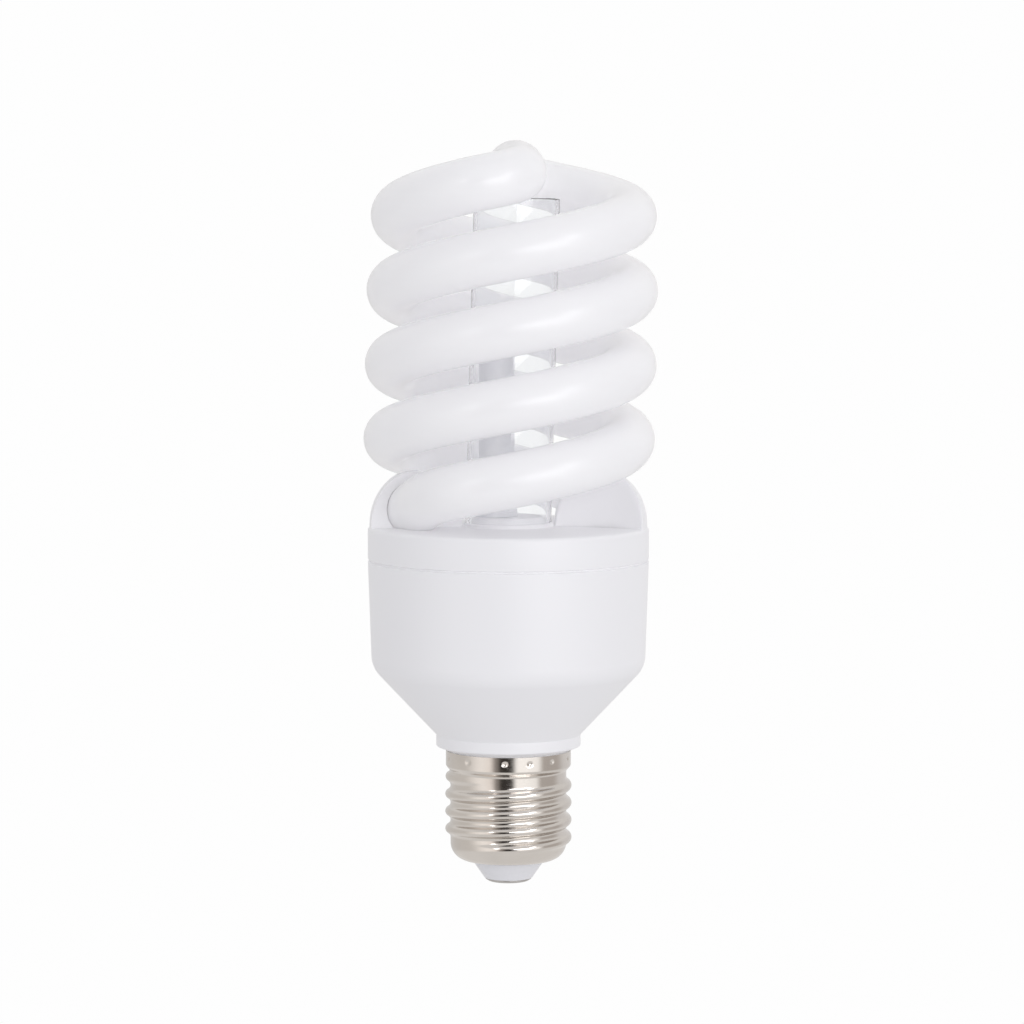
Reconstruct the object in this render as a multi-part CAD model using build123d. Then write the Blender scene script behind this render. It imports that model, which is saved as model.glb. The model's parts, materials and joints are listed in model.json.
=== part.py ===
from build123d import *

# A spiral energy saving lamp with a standard E27 screw cap, one solid per piece.
# Millimetres, +Z up, cap below. The origin is at the bottom of the centre contact, on the axis.
# X points right and Y away from the eye when the lamp is seen from its front.

import os
from math import asin, atan2, cos, degrees, hypot, pi, radians, sin, sqrt, tan

# Cap: a standard E27 screw base
contact_r = 4.8
contact_flat_r = 2.4
contact_height = 0.9
contact_edge_height = 0.18
contact_dome_rise = 0.2
contact_stem_r = 0.9
contact_stem_overrun = 1.0
insulator_foot_r = 4.95
insulator_rim_r = 7.6
insulator_height = 3.85
insulator_depth = 3.2
insulator_lip = 0.1
insulator_clearance = 0.25
insulator_flange_angle = 25.0
shell_wall = 0.3
shell_mouth_r = 7.65
shoulder_r = 3.6
thread_root_r = 12.1
thread_crest_r = 13.15
thread_foot_half = 1.4
thread_crest_half = 0.45
thread_pitch = 3.63
thread_turns = 3.7
thread_start_angle = -60.0
thread_start_rise = 1.4
thread_height = 15.5
skirt_r = 13.0
skirt_height = 3.7
crimp_groove_drop = 1.4
crimp_groove_half = 0.8
crimp_groove_depth = 0.4

# Ballast housing: neck, collar, cone and wall of one moulding
neck_clearance = 0.05
neck_length = 2.8
neck_wall = 1.35
shell_gap = 0.1
collar_foot_r = 13.2
collar_r = 15.0
collar_bevel_height = 1.1
collar_height = 3.0
cone_step = 0.1
cone_half_angle = 43.3
housing_rim_r = 29.1
housing_draft = 0.75
housing_corner_r = 6.0
housing_wall = 1.5
housing_wall_height = 21.0
seam_chamfer = 0.18
snap_bead_drop = 3.4
snap_bead_r = 0.35
rib_count = 6
rib_thickness = 1.2
rib_seat = 1.35
rib_top_drop = 9.7
overcut = 1.0

# Tube cover: band, plate, stepped boss and two cowls of one moulding
band_height = 6.3
band_edge_chamfer = 0.3
plate_thickness = 1.8
inner_rim_clearance = 0.1
inner_rim_wall = 1.3
inner_rim_depth = 5.0
boss_r = 9.3
boss_height = 1.2
spigot_foot_r = 7.9
spigot_top_r = 7.0
spigot_height = 1.5
cowl_outer_inset = 0.15
cowl_outer_gap = 2.7
cowl_inner_gap = 0.55
cowl_crown_inset = 1.2
cowl_straight_height = 2.5
cowl_mouth_height = 13.0
cowl_end_height = 8.0
cowl_wall = 0.9
cowl_end_wall = 1.2
cowl_first_angle = -74.0
cowl_arc = 84.0
cowl_end_fillet = 1.6
cowl_sections = 5
slot_overrun = 4.0
tube_clearance = 0.25

# Discharge tube: two strands wound as a right-handed double helix, joined by a bridge
tube_r = 5.65
coil_r = 24.45
coil_top_r = 23.7
coil_pitch = 30.7
coil_rise = 12.5
coil_turns_to_bend = 1.933
coil_end_turn = -150.0
coil_pull_in_from = -18.0
coil_pull_in_to = -72.0
coil_top_tightening = 300.0
bridge_bend_r = 7.5
bridge_rise = 3.5
coil_lean = 1.2
point_step = 15.0
bridge_bend_points = 8
bridge_run_points = 3

# Sleeve and post in the middle of the spiral
sleeve_r = 8.9
sleeve_wall = 0.8
sleeve_lean = 1.5
sleeve_bridge_gap = 0.8
post_r = 3.7
post_foot_r = 4.4
post_foot_height = 5.0
post_height = 34.0
post_offset = -2.4

# Ballast: board, its components and the wires
board_thickness = 1.6
board_clearance = 1.0
main_capacitor_r = 5.0
main_capacitor_length = 20.0
main_capacitor_groove = 0.4
main_capacitor_groove_drop = 2.4
choke_size = 13.0
choke_depth = 12.0
choke_flange = 3.0
choke_middle_leg = 3.6
choke_window = 3.5
choke_capacitor_gap = 1.5
winding_overhang = 2.0
winding_clearance = 0.2
toroid_outer_r = 4.6
toroid_inner_r = 2.5
toroid_height = 4.8
toroid_x = 3.0
toroid_capacitor_gap = 0.6
transistor_width = 8.0
transistor_thickness = 3.0
transistor_height = 10.5
transistor_hole_r = 1.5
transistor_x = 14.0
transistor_y = 5.0
resonant_capacitor_thickness = 5.0
resonant_capacitor_width = 12.0
resonant_capacitor_height = 9.0
resonant_capacitor_x = -14.0
resonant_capacitor_y = 4.5
film_capacitor_thickness = 4.5
film_capacitor_width = 10.0
film_capacitor_height = 7.5
film_capacitor_x = -13.0
film_capacitor_y = -9.0
dipped_corner_share = 0.4
drum_r = 3.4
drum_waist_r = 2.7
drum_flange = 1.2
drum_height = 8.0
drum_x = 12.0
drum_y = -14.5
diode_count = 4
diode_r = 1.35
diode_length = 4.6
diode_spacing = 3.8
diode_row_x = -3.5
diode_row_y = -19.6
diode_lead_reach = 0.6
thermistor_r = 3.0
thermistor_thickness = 2.6
thermistor_x = 11.5
thermistor_y = 13.0
lead_r = 0.35
wire_r = 0.5
fuse_r = 1.9
fuse_length = 9.0
fuse_x = 6.0
fuse_drop = 1.0
fuse_lead_knee = 4.0
fuse_lead_gap = 3.2
live_wire_slant_share = 0.3
neutral_joint_drop = 6.0
neutral_joint_length = 3.0
neutral_neck_drop = 0.4
neutral_knee = 6.0
neutral_gap = 3.0
post_pin_side = 1.0
post_pin_height = 8.0
lead_spacing = 2.2
lead_reach = 2.0
cement_thickness = 2.6
cement_rim_gap = 0.3
cement_first_margin = 12.0
cement_last_margin = 8.0

# Heights worked out from the sizes above
insulator_foot_z = contact_height
shell_foot_z = insulator_foot_z + insulator_height
shoulder_top_z = shell_foot_z + shoulder_r
skirt_foot_z = shoulder_top_z + thread_height
shell_top_z = skirt_foot_z + skirt_height
collar_foot_z = shell_top_z + shell_gap
collar_z = collar_foot_z + collar_bevel_height
cone_foot_z = collar_z + collar_height
housing_foot_r = housing_rim_r - housing_draft
cone_rise = (housing_foot_r - collar_r - cone_step) / tan(radians(cone_half_angle))
corner_z = cone_foot_z + cone_rise
seam_z = corner_z + housing_wall_height
plate_z = seam_z + band_height
plate_under_z = plate_z - plate_thickness
boss_z = plate_z + boss_height
spigot_z = boss_z + spigot_height
coil_front_z = plate_z + coil_rise
board_under_z = seam_z - rib_top_drop
board_top_z = board_under_z + board_thickness
housing_rim_inner_r = housing_rim_r - housing_wall
inner_rim_r = housing_rim_inner_r - inner_rim_clearance
neck_r = skirt_r - shell_wall - neck_clearance
neck_bore_r = neck_r - neck_wall
stem_top_z = shell_foot_z + insulator_depth + contact_stem_overrun
cowl_outer_r = housing_rim_r - cowl_outer_inset
coil_end_r = cowl_outer_r - cowl_wall - cowl_outer_gap - tube_r
cowl_inner_r = coil_end_r - tube_r - cowl_inner_gap - cowl_wall
cowl_crown_r = coil_end_r - cowl_crown_inset
choke_y = main_capacitor_r + choke_capacitor_gap + winding_overhang + choke_depth / 2
toroid_y = -main_capacitor_r - toroid_capacitor_gap - toroid_outer_r


def turned(points):
    """Revolve a closed outline of (radius, height) points about the axis."""
    outline = Polyline(*[(r, 0, z) for r, z in points], close=True)
    return revolve(make_face(outline), axis=Axis.Z)


def disc_ring(outer_r, inner_r, low_z, high_z):
    """A plain ring about the axis."""
    return turned([(inner_r, low_z), (outer_r, low_z), (outer_r, high_z), (inner_r, high_z)])


def solid_disc(r, low_z, high_z):
    """A plain disc about the axis."""
    return Pos(0, 0, (low_z + high_z) / 2) * Cylinder(r, high_z - low_z)


def round_wire(points, r):
    """A round wire along straight runs with mitred corners."""
    path = Polyline(*points)
    section = Plane(origin=path @ 0, z_dir=path % 0) * Circle(r)
    return sweep(section, path=path, transition=Transition.RIGHT)


def smooth_step(t):
    """Ease from 0 to 1 as t goes from 0 to 1."""
    t = min(1.0, max(0.0, t))
    return t * t * (3 - 2 * t)


def centre_contact():
    """The domed contact with the stem that passes up through the insulator."""
    dome_z = contact_height - contact_edge_height
    with BuildPart() as contact:
        with BuildSketch(Plane.XZ):
            with BuildLine():
                Polyline((0, contact_height), (0, 0), (contact_flat_r, 0))
                ThreePointArc(
                    (contact_flat_r, 0),
                    ((contact_flat_r + contact_r) / 2, contact_dome_rise),
                    (contact_r, dome_z),
                )
                Polyline((contact_r, dome_z), (contact_r, contact_height), (0, contact_height))
            make_face()
        revolve(axis=Axis.Z)
    return contact.part + solid_disc(contact_stem_r, contact_height / 2, stem_top_z)


def cap_insulator():
    """The white cone between contact and shell, with the flange that the shell is rolled over."""
    flange_z = shell_foot_z + shell_wall
    top_z = shell_foot_z + insulator_depth
    bend_r = shoulder_r - shell_wall - insulator_clearance
    flange_r = thread_root_r - shoulder_r + bend_r * sin(radians(insulator_flange_angle))
    flange_edge_z = shoulder_top_z - bend_r * cos(radians(insulator_flange_angle))
    return turned([
        (contact_stem_r, insulator_foot_z),
        (insulator_foot_r, insulator_foot_z),
        (insulator_rim_r, shell_foot_z - insulator_lip),
        (insulator_rim_r, flange_z),
        (thread_root_r - shoulder_r, flange_z),
        (flange_r, flange_edge_z),
        (flange_r, top_z),
        (contact_stem_r, top_z),
    ])


def thread_ridge():
    """The helical ridge of the rolled thread: two flanks and the crest."""
    outline = [
        (thread_root_r - shell_wall / 2, -thread_foot_half),
        (thread_root_r, -thread_foot_half),
        (thread_crest_r, -thread_crest_half),
        (thread_crest_r, thread_crest_half),
        (thread_root_r, thread_foot_half),
        (thread_root_r - shell_wall / 2, thread_foot_half),
    ]
    section = make_face(Polyline(*[(r, 0, z) for r, z in outline], close=True))
    path = Helix(thread_pitch, thread_pitch * thread_turns, thread_root_r)
    ridge = sweep(section, path=path, is_frenet=True)
    return Pos(0, 0, shoulder_top_z + thread_start_rise) * Rot(0, 0, thread_start_angle) * ridge


def shell_form(thinner):
    """The filled form of the shell inside its wall, drawn in by thinner."""
    root = thread_root_r - thinner
    with BuildPart() as form:
        with BuildSketch(Plane.XZ):
            with BuildLine():
                arc_centre_r = thread_root_r - shoulder_r
                arc_r = shoulder_r - thinner
                foot_z = shoulder_top_z - arc_r
                Polyline((0, foot_z), (arc_centre_r, foot_z))
                CenterArc((arc_centre_r, shoulder_top_z), arc_r, -90, 90)
                Polyline(
                    (root, shoulder_top_z),
                    (root, skirt_foot_z),
                    (skirt_r - thinner, skirt_foot_z + skirt_r - thread_root_r),
                    (skirt_r - thinner, shell_top_z),
                    (0, shell_top_z),
                    (0, foot_z),
                )
            make_face()
        revolve(axis=Axis.Z)
    return form.part


def cap_shell():
    """The thin screw shell: mouth, shoulder, rolled thread and skirt."""
    outside = shell_form(0) + thread_ridge()
    mouth = solid_disc(shell_mouth_r, shell_foot_z - overcut, shoulder_top_z)
    return outside - shell_form(shell_wall) - mouth


def cone_edge_r(z, wall):
    """Radius of the cone at height z, drawn in by a wall thickness."""
    slope = tan(radians(cone_half_angle))
    outside = collar_r + cone_step + (z - cone_foot_z) * slope
    return outside - wall / cos(radians(cone_half_angle))


def housing_outside():
    """The filled outer form of collar, cone and wall."""
    with BuildPart() as form:
        with BuildSketch(Plane.XZ):
            with BuildLine():
                Polyline(
                    (0, collar_foot_z),
                    (collar_foot_r, collar_foot_z),
                    (collar_r, collar_z),
                    (collar_r, cone_foot_z),
                    (collar_r + cone_step, cone_foot_z),
                )
                FilletPolyline(
                    (collar_r + cone_step, cone_foot_z),
                    (housing_foot_r, corner_z),
                    (housing_rim_r, seam_z - seam_chamfer),
                    radius=housing_corner_r,
                )
                Polyline(
                    (housing_rim_r, seam_z - seam_chamfer),
                    (housing_rim_r - seam_chamfer, seam_z),
                    (0, seam_z),
                    (0, collar_foot_z),
                )
            make_face()
        revolve(axis=Axis.Z)
    return form.part


def housing_hollow():
    """The room inside the housing, with the bore of its neck and the groove for the snap bead."""
    low_z = skirt_foot_z
    bore_top_z = cone_foot_z + (neck_bore_r - cone_edge_r(cone_foot_z, housing_wall)) / tan(
        radians(cone_half_angle)
    )
    wall_foot_r = housing_foot_r - housing_wall
    wall_foot_z = bore_top_z + (wall_foot_r - neck_bore_r) / tan(radians(cone_half_angle))
    with BuildPart() as form:
        with BuildSketch(Plane.XZ):
            with BuildLine():
                Polyline((0, low_z), (neck_bore_r, low_z), (neck_bore_r, bore_top_z))
                FilletPolyline(
                    (neck_bore_r, bore_top_z),
                    (wall_foot_r, wall_foot_z),
                    (housing_rim_inner_r, seam_z),
                    radius=housing_corner_r - housing_wall,
                )
                Polyline((housing_rim_inner_r, seam_z), (0, seam_z), (0, low_z))
            make_face()
        revolve(axis=Axis.Z)
    return form.part + snap_ring(inner_rim_clearance)


def snap_ring(extra):
    """The ridge on the cover's rim that snaps into the housing's groove."""
    z = seam_z - snap_bead_drop
    half = snap_bead_r + extra
    foot_r = inner_rim_r - inner_rim_wall / 2
    return turned([(foot_r, z - half), (foot_r, z + half), (inner_rim_r + half, z)])


def ballast_housing():
    """The moulded shell from the cap's neck to the seam, with ribs that carry the board."""
    neck = solid_disc(neck_r, collar_foot_z - neck_length, collar_z)
    body = housing_outside() + neck - housing_hollow()
    groove_z = shell_top_z - crimp_groove_drop
    groove_r = neck_r - crimp_groove_depth
    body -= disc_ring(
        neck_r + overcut, groove_r, groove_z - crimp_groove_half, groove_z + crimp_groove_half
    )
    rib_foot_z = corner_z - housing_corner_r
    rib_height = board_under_z - rib_foot_z
    rib_inner_r = board_r() - rib_seat
    rib_outer_r = housing_foot_r - housing_wall / 2
    rib = Box(rib_outer_r - rib_inner_r, rib_thickness, rib_height)
    rib = Pos((rib_outer_r + rib_inner_r) / 2, 0, rib_foot_z + rib_height / 2) * rib
    ribs = [Rot(0, 0, i * 360 / rib_count) * rib for i in range(rib_count)]
    return body + [housing_outside() & one for one in ribs]


def cowl_section(angle, height, wall, low_z):
    """One radial section of a cowl at an angle about the axis, drawn in by a wall."""
    outer_r = cowl_outer_r - wall
    inner_r = cowl_inner_r + wall
    crown_z = plate_z + height - wall
    eaves_z = plate_z + cowl_straight_height
    quarter = 4 / 3 * (sqrt(2) - 1)
    across = outer_r - cowl_crown_r
    inward = cowl_crown_r - inner_r
    rise = crown_z - eaves_z
    plane = Plane(origin=(0, 0, 0), x_dir=(cos(angle), sin(angle), 0), z_dir=(sin(angle), -cos(angle), 0))
    with BuildSketch(plane) as section:
        with BuildLine():
            Polyline((inner_r, eaves_z), (inner_r, low_z), (outer_r, low_z), (outer_r, eaves_z))
            Bezier(
                (outer_r, eaves_z),
                (outer_r, eaves_z + quarter * rise),
                (cowl_crown_r + quarter * across, crown_z),
                (cowl_crown_r, crown_z),
            )
            Bezier(
                (cowl_crown_r, crown_z),
                (cowl_crown_r - quarter * inward, crown_z),
                (inner_r, eaves_z + quarter * rise),
                (inner_r, eaves_z),
            )
        make_face()
    return section.sketch


def cowl_body(wall, first, last, low_z):
    """A cowl as a loft of radial sections whose crown climbs from its closed end to its mouth."""
    sections = []
    for i in range(cowl_sections):
        share = i / (cowl_sections - 1)
        angle = first + (last - first) * share
        along = (angle - cowl_first_angle) / cowl_arc
        height = cowl_end_height + (cowl_mouth_height - cowl_end_height) * along
        sections.append(cowl_section(radians(angle), height, wall, low_z))
    return loft(sections)


def arc_block(inner_r, outer_r, low_z, high_z, first, last):
    """A ring segment between two angles."""
    block = revolve(
        Plane.XZ * Pos((inner_r + outer_r) / 2, (low_z + high_z) / 2)
        * Rectangle(outer_r - inner_r, high_z - low_z),
        axis=Axis.Z,
        revolution_arc=last - first,
    )
    return Rot(0, 0, first) * block


def cowl_slot():
    """Where the tube's end passes down through the plate: inner and outer radius and angles."""
    end_wall_angle = degrees(cowl_end_wall / coil_end_r)
    inner_r = coil_end_r - tube_r - tube_clearance
    outer_r = coil_end_r + tube_r + tube_clearance
    return inner_r, outer_r, cowl_first_angle + end_wall_angle, cowl_first_angle + cowl_arc


def inner_rim_taper():
    """How much the cover's inner rim draws in with the housing's wall over its depth."""
    return inner_rim_depth * housing_draft / housing_wall_height


def tube_cover():
    """The moulded cover: band, plate, inner rim with its bead, stepped boss and two cowls."""
    rim_inner_r = inner_rim_r - inner_rim_wall
    rim_foot_z = seam_z - inner_rim_depth
    rim_taper = inner_rim_taper()
    band = turned([
        (0, plate_under_z),
        (rim_inner_r - rim_taper, plate_under_z),
        (rim_inner_r - rim_taper, rim_foot_z),
        (inner_rim_r - rim_taper, rim_foot_z),
        (inner_rim_r, seam_z),
        (housing_rim_r - seam_chamfer, seam_z),
        (housing_rim_r, seam_z + seam_chamfer),
        (housing_rim_r, plate_z),
        (0, plate_z),
    ])
    band = chamfer(band.edges().filter_by(GeomType.CIRCLE).group_by(Axis.Z)[-1], band_edge_chamfer)
    boss = turned([
        (0, plate_under_z),
        (boss_r, plate_under_z),
        (boss_r, boss_z),
        (spigot_foot_r, boss_z),
        (spigot_top_r, spigot_z),
        (0, spigot_z),
    ])
    inner_r, outer_r, first, last = cowl_slot()
    hood = cowl_body(0, cowl_first_angle, last, plate_z - plate_thickness / 2)
    end_face = hood.faces().sort_by_distance(
        (
            coil_end_r * cos(radians(cowl_first_angle)),
            coil_end_r * sin(radians(cowl_first_angle)),
            plate_z + cowl_straight_height / 2,
        )
    )[0]
    end_edges = end_face.edges().filter_by(lambda edge: edge.center().Z > plate_z + cowl_straight_height / 2)
    hood = fillet(end_edges, cowl_end_fillet)
    hollow = cowl_body(cowl_wall, first, last + overcut, plate_z)
    slot = arc_block(
        inner_r, outer_r, plate_under_z - overcut, plate_z + overcut, first, last + slot_overrun
    )
    cover = band + snap_ring(0) + boss
    for turn in (0, 180):
        cover = cover + Rot(0, 0, turn) * hood
    for turn in (0, 180):
        cover = cover - Rot(0, 0, turn) * hollow - Rot(0, 0, turn) * slot
    return cover


def coil_centre(turn):
    """Centreline of a strand at a turn angle in degrees, 0 at the front of its lowest turn."""
    bend_turn = 360 * coil_turns_to_bend
    free = smooth_step((turn - coil_pull_in_to) / (coil_pull_in_from - coil_pull_in_to))
    tight = smooth_step((turn - bend_turn + coil_top_tightening) / coil_top_tightening)
    r = coil_end_r + (coil_r - coil_end_r) * free - (coil_r - coil_top_r) * tight
    z = coil_front_z + coil_pitch * turn / 360
    return r * sin(radians(turn)), -r * cos(radians(turn)), z


def bridge_points():
    """From the last turn round a tight bend and straight across to the axis."""
    bend_turn = 360 * coil_turns_to_bend
    x0, y0, z0 = coil_centre(bend_turn)
    heading = radians(bend_turn)
    slope = coil_pitch / (2 * pi * coil_top_r)
    centre_x = x0 - bridge_bend_r * sin(heading)
    centre_y = y0 + bridge_bend_r * cos(heading)
    reach = hypot(centre_x, centre_y)
    run = sqrt(reach**2 - bridge_bend_r**2)
    to_axis = atan2(-centre_y, -centre_x) + asin(bridge_bend_r / reach)
    swing = (to_axis - heading) % (2 * pi)
    length = bridge_bend_r * swing + run
    steps = bridge_bend_points
    flat = []
    for i in range(1, steps + 1):
        now = heading + swing * i / steps
        flat.append((
            centre_x + bridge_bend_r * sin(now),
            centre_y - bridge_bend_r * cos(now),
            bridge_bend_r * swing * i / steps,
        ))
    tangent_x, tangent_y, gone = flat[-1]
    for i in range(1, bridge_run_points + 1):
        share = i / bridge_run_points
        flat.append((tangent_x * (1 - share), tangent_y * (1 - share), gone + run * share))
    points = []
    for x, y, s in flat:
        t = s / length
        climb = length * slope * t * (1 - t) ** 2 + bridge_rise * t * t * (3 - 2 * t)
        points.append((x, y, z0 + climb))
    return points


def strand_points(turned_by):
    """Centreline of one half of the tube, from the middle of the bridge to its sealed end."""
    last_turn = 360 * coil_turns_to_bend
    count = round((last_turn - coil_end_turn) / point_step)
    step = (last_turn - coil_end_turn) / count
    points = [coil_centre(coil_end_turn + i * step) for i in range(count + 1)] + bridge_points()
    side = cos(radians(turned_by))
    lean = tan(radians(coil_lean))
    return [(side * x + lean * max(0, z - coil_front_z), side * y, z) for x, y, z in points[::-1]]


def half_tube(turned_by):
    """One strand swept from the middle of the bridge, its section drawn as two arcs."""
    points = strand_points(turned_by)
    side = cos(radians(turned_by))
    x, y, _ = bridge_points()[-2]
    out = Vector(side * x, side * y, 0).normalized()
    path = Spline(*points)
    plane = Plane(origin=points[0], x_dir=out.cross(Vector(0, 0, 1)), z_dir=out)
    section = plane * make_face([CenterArc((0, 0), tube_r, start, 180) for start in (0, 180)])
    return sweep(section, path=path)


def spiral_tube():
    """The whole glass tube as one solid: two strands joined in the middle of the bridge."""
    halves = [half_tube(turned_by) for turned_by in (0, 180)]
    walls = []
    for half in halves:
        ends = half.faces().filter_by(GeomType.PLANE).sort_by(Axis.Z)
        walls += [ends[0]] + half.faces().filter_by(GeomType.PLANE, reverse=True)
    return Part() + Solid(Shell(walls))


def sleeve_top_z():
    """Height at which the sleeve ends, clear of the bridge."""
    bridge_z = coil_centre(360 * coil_turns_to_bend)[2] + bridge_rise
    return bridge_z - tube_r - sleeve_bridge_gap


def support_sleeve():
    """The clear sleeve on the boss, leaning as the spiral does, its ends cut level."""
    top_z = sleeve_top_z()
    shift = (top_z - boss_z) * tan(radians(sleeve_lean))
    walls = []
    for r in (sleeve_r, sleeve_r - sleeve_wall):
        foot = Pos(0, 0, boss_z) * Circle(r)
        top = Pos(shift, 0, top_z) * Circle(r)
        walls.append(loft([foot, top]))
    return walls[0] - walls[1]


def centre_post():
    """The translucent post on the boss inside the sleeve, flared at its foot."""
    post = turned([
        (0, spigot_z),
        (post_foot_r, spigot_z),
        (post_r, spigot_z + post_foot_height),
        (post_r, spigot_z + post_height),
        (0, spigot_z + post_height),
    ])
    return Pos(post_offset, 0, 0) * post


def tube_cement(turned_by, tube):
    """The cement bed that holds one tube end in its slot."""
    inner_r, outer_r, first, last = cowl_slot()
    rim_inner_r = inner_rim_r - inner_rim_wall - max(0, inner_rim_taper())
    outer_r = min(outer_r, rim_inner_r - cement_rim_gap)
    low_z = plate_under_z - cement_thickness
    bed = arc_block(
        inner_r, outer_r, low_z, plate_under_z, first + cement_first_margin, last - cement_last_margin
    )
    return Rot(0, 0, turned_by) * bed - tube


def board_r():
    """Radius of the board: the narrower of the housing's wall below and above it, less a clearance."""
    slope = housing_draft / housing_wall_height
    walls = [housing_foot_r + slope * (z - corner_z) for z in (board_under_z, board_top_z)]
    return min(walls) - housing_wall - board_clearance


def circuit_board():
    """The round board that lies on the housing's ribs."""
    return solid_disc(board_r(), board_under_z, board_top_z)


def main_capacitor():
    """The electrolytic capacitor hanging down the middle, with the groove of its rolled can."""
    low_z = board_under_z - main_capacitor_length
    groove_z = board_under_z - main_capacitor_groove_drop
    half = main_capacitor_groove
    return turned([
        (0, low_z),
        (main_capacitor_r - half, low_z),
        (main_capacitor_r, low_z + half),
        (main_capacitor_r, groove_z - half),
        (main_capacitor_r - half, groove_z),
        (main_capacitor_r, groove_z + half),
        (main_capacitor_r, board_under_z),
        (0, board_under_z),
    ])


def choke_core():
    """The E-shaped ferrite pair of the output choke."""
    block = Box(choke_size, choke_depth, choke_size)
    window = Box(choke_window, choke_depth * 2, choke_size - 2 * choke_flange)
    offset = (choke_middle_leg + choke_window) / 2
    core = block - Pos(offset, 0, 0) * window - Pos(-offset, 0, 0) * window
    return Pos(0, choke_y, board_under_z - choke_size / 2) * core


def choke_winding():
    """The winding round the middle leg of the choke, standing out of its windows."""
    height = choke_size - 2 * choke_flange - 2 * winding_clearance
    width = choke_middle_leg + 2 * (choke_window - winding_clearance)
    coil = Box(width, choke_depth + 2 * winding_overhang, height)
    coil = fillet(coil.edges().filter_by(Axis.Z), winding_overhang)
    coil -= Box(choke_middle_leg, choke_depth, height * 2)
    return Pos(0, choke_y, board_under_z - choke_size / 2) * coil


def drive_toroid():
    """The small ring core of the drive transformer, flat on the board."""
    ring = disc_ring(toroid_outer_r, toroid_inner_r, board_under_z - toroid_height, board_under_z)
    return Pos(toroid_x, toroid_y, 0) * ring


def transistor(side):
    """One switching transistor, standing out from the board with its screw hole."""
    body = Box(transistor_thickness, transistor_width, transistor_height)
    hole = Pos(0, 0, -transistor_height / 4) * Rot(0, 90, 0) * Cylinder(
        transistor_hole_r, 2 * transistor_thickness
    )
    z = board_under_z - transistor_height / 2
    return Pos(transistor_x, side * transistor_y, z) * (body - hole)


def dipped_capacitor(thickness, width, height):
    """A capacitor with the rounded edges of its dipped coat, hanging from the board."""
    body = Box(thickness, width, height)
    body = fillet(body.edges().filter_by(Axis.Z), thickness * dipped_corner_share)
    return Pos(0, 0, board_under_z - height / 2) * body


def resonant_capacitor():
    """The capacitor across the tube, which takes its high starting voltage."""
    body = dipped_capacitor(
        resonant_capacitor_thickness, resonant_capacitor_width, resonant_capacitor_height
    )
    return Pos(resonant_capacitor_x, resonant_capacitor_y, 0) * body


def film_capacitor():
    """The film capacitor of the half bridge."""
    body = dipped_capacitor(film_capacitor_thickness, film_capacitor_width, film_capacitor_height)
    return Pos(film_capacitor_x, film_capacitor_y, 0) * body


def filter_choke():
    """The drum core choke of the input filter: two flanges and a waist of wire."""
    foot_z = board_under_z - drum_height
    drum = turned([
        (0, board_under_z),
        (drum_r, board_under_z),
        (drum_r, board_under_z - drum_flange),
        (drum_waist_r, board_under_z - drum_flange),
        (drum_waist_r, foot_z + drum_flange),
        (drum_r, foot_z + drum_flange),
        (drum_r, foot_z),
        (0, foot_z),
    ])
    return Pos(drum_x, drum_y, 0) * drum


def rectifier_diodes():
    """The four rectifier diodes in a row under the board, with bent leads."""
    body = Rot(90, 0, 0) * Cylinder(diode_r, diode_length)
    reach = diode_length / 2 + diode_lead_reach
    diodes = []
    for i in range(diode_count):
        x = (i - (diode_count - 1) / 2) * diode_spacing + diode_row_x
        foot = Pos(0, reach, diode_r / 2) * Box(2 * lead_r, 2 * lead_r, diode_r)
        run = Pos(0, reach / 2, 0) * Box(2 * lead_r, reach, 2 * lead_r)
        one = body + foot + run + Rot(0, 0, 180) * foot + Rot(0, 0, 180) * run
        diodes.append(Pos(x, diode_row_y, board_under_z - diode_r) * one)
    return diodes


def start_thermistor():
    """The disc thermistor that preheats the tube's filaments."""
    disc = Rot(0, 90, 0) * Cylinder(thermistor_r, thermistor_thickness)
    return Pos(thermistor_x, thermistor_y, board_under_z - thermistor_r) * disc


def fuse_parts():
    """Foot and head height of the fusible resistor in the cap."""
    foot_z = skirt_foot_z - fuse_length - fuse_drop
    return foot_z, foot_z + fuse_length


def fuse_resistor():
    """The fusible resistor in the cap, with its upper lead to the board."""
    foot_z, head_z = fuse_parts()
    body = Pos(fuse_x, 0, (foot_z + head_z) / 2) * Cylinder(fuse_r, fuse_length)
    lead_x = main_capacitor_r + fuse_lead_gap
    lead = round_wire(
        [
            (fuse_x, 0, head_z - fuse_drop),
            (fuse_x, 0, cone_foot_z),
            (lead_x, 0, cone_foot_z + fuse_lead_knee),
            (lead_x, 0, board_under_z),
        ],
        lead_r,
    )
    return body + lead


def live_wire():
    """The wire from the stem of the centre contact to the fusible resistor."""
    foot_z, _ = fuse_parts()
    middle_z = (stem_top_z + foot_z) / 2
    rise = (foot_z - stem_top_z) * live_wire_slant_share
    return round_wire(
        [(0, 0, stem_top_z), (0, 0, middle_z - rise), (fuse_x, 0, middle_z + rise), (fuse_x, 0, foot_z)],
        wire_r,
    )


def neutral_wire():
    """The wire from the shell, where it is soldered under the neck, up to the board."""
    joint_x = wire_r + shell_wall - thread_root_r
    joint_foot_z = skirt_foot_z - neutral_joint_drop
    bore_x = neck_bore_r - 2 * wire_r
    board_x = main_capacitor_r + neutral_gap
    return round_wire(
        [
            (joint_x, 0, joint_foot_z),
            (joint_x, 0, joint_foot_z + neutral_joint_length),
            (-bore_x, 0, skirt_foot_z - neutral_neck_drop),
            (-bore_x, 0, cone_foot_z),
            (-board_x, 0, cone_foot_z + neutral_knee),
            (-board_x, 0, board_under_z),
        ],
        wire_r,
    )


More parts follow.
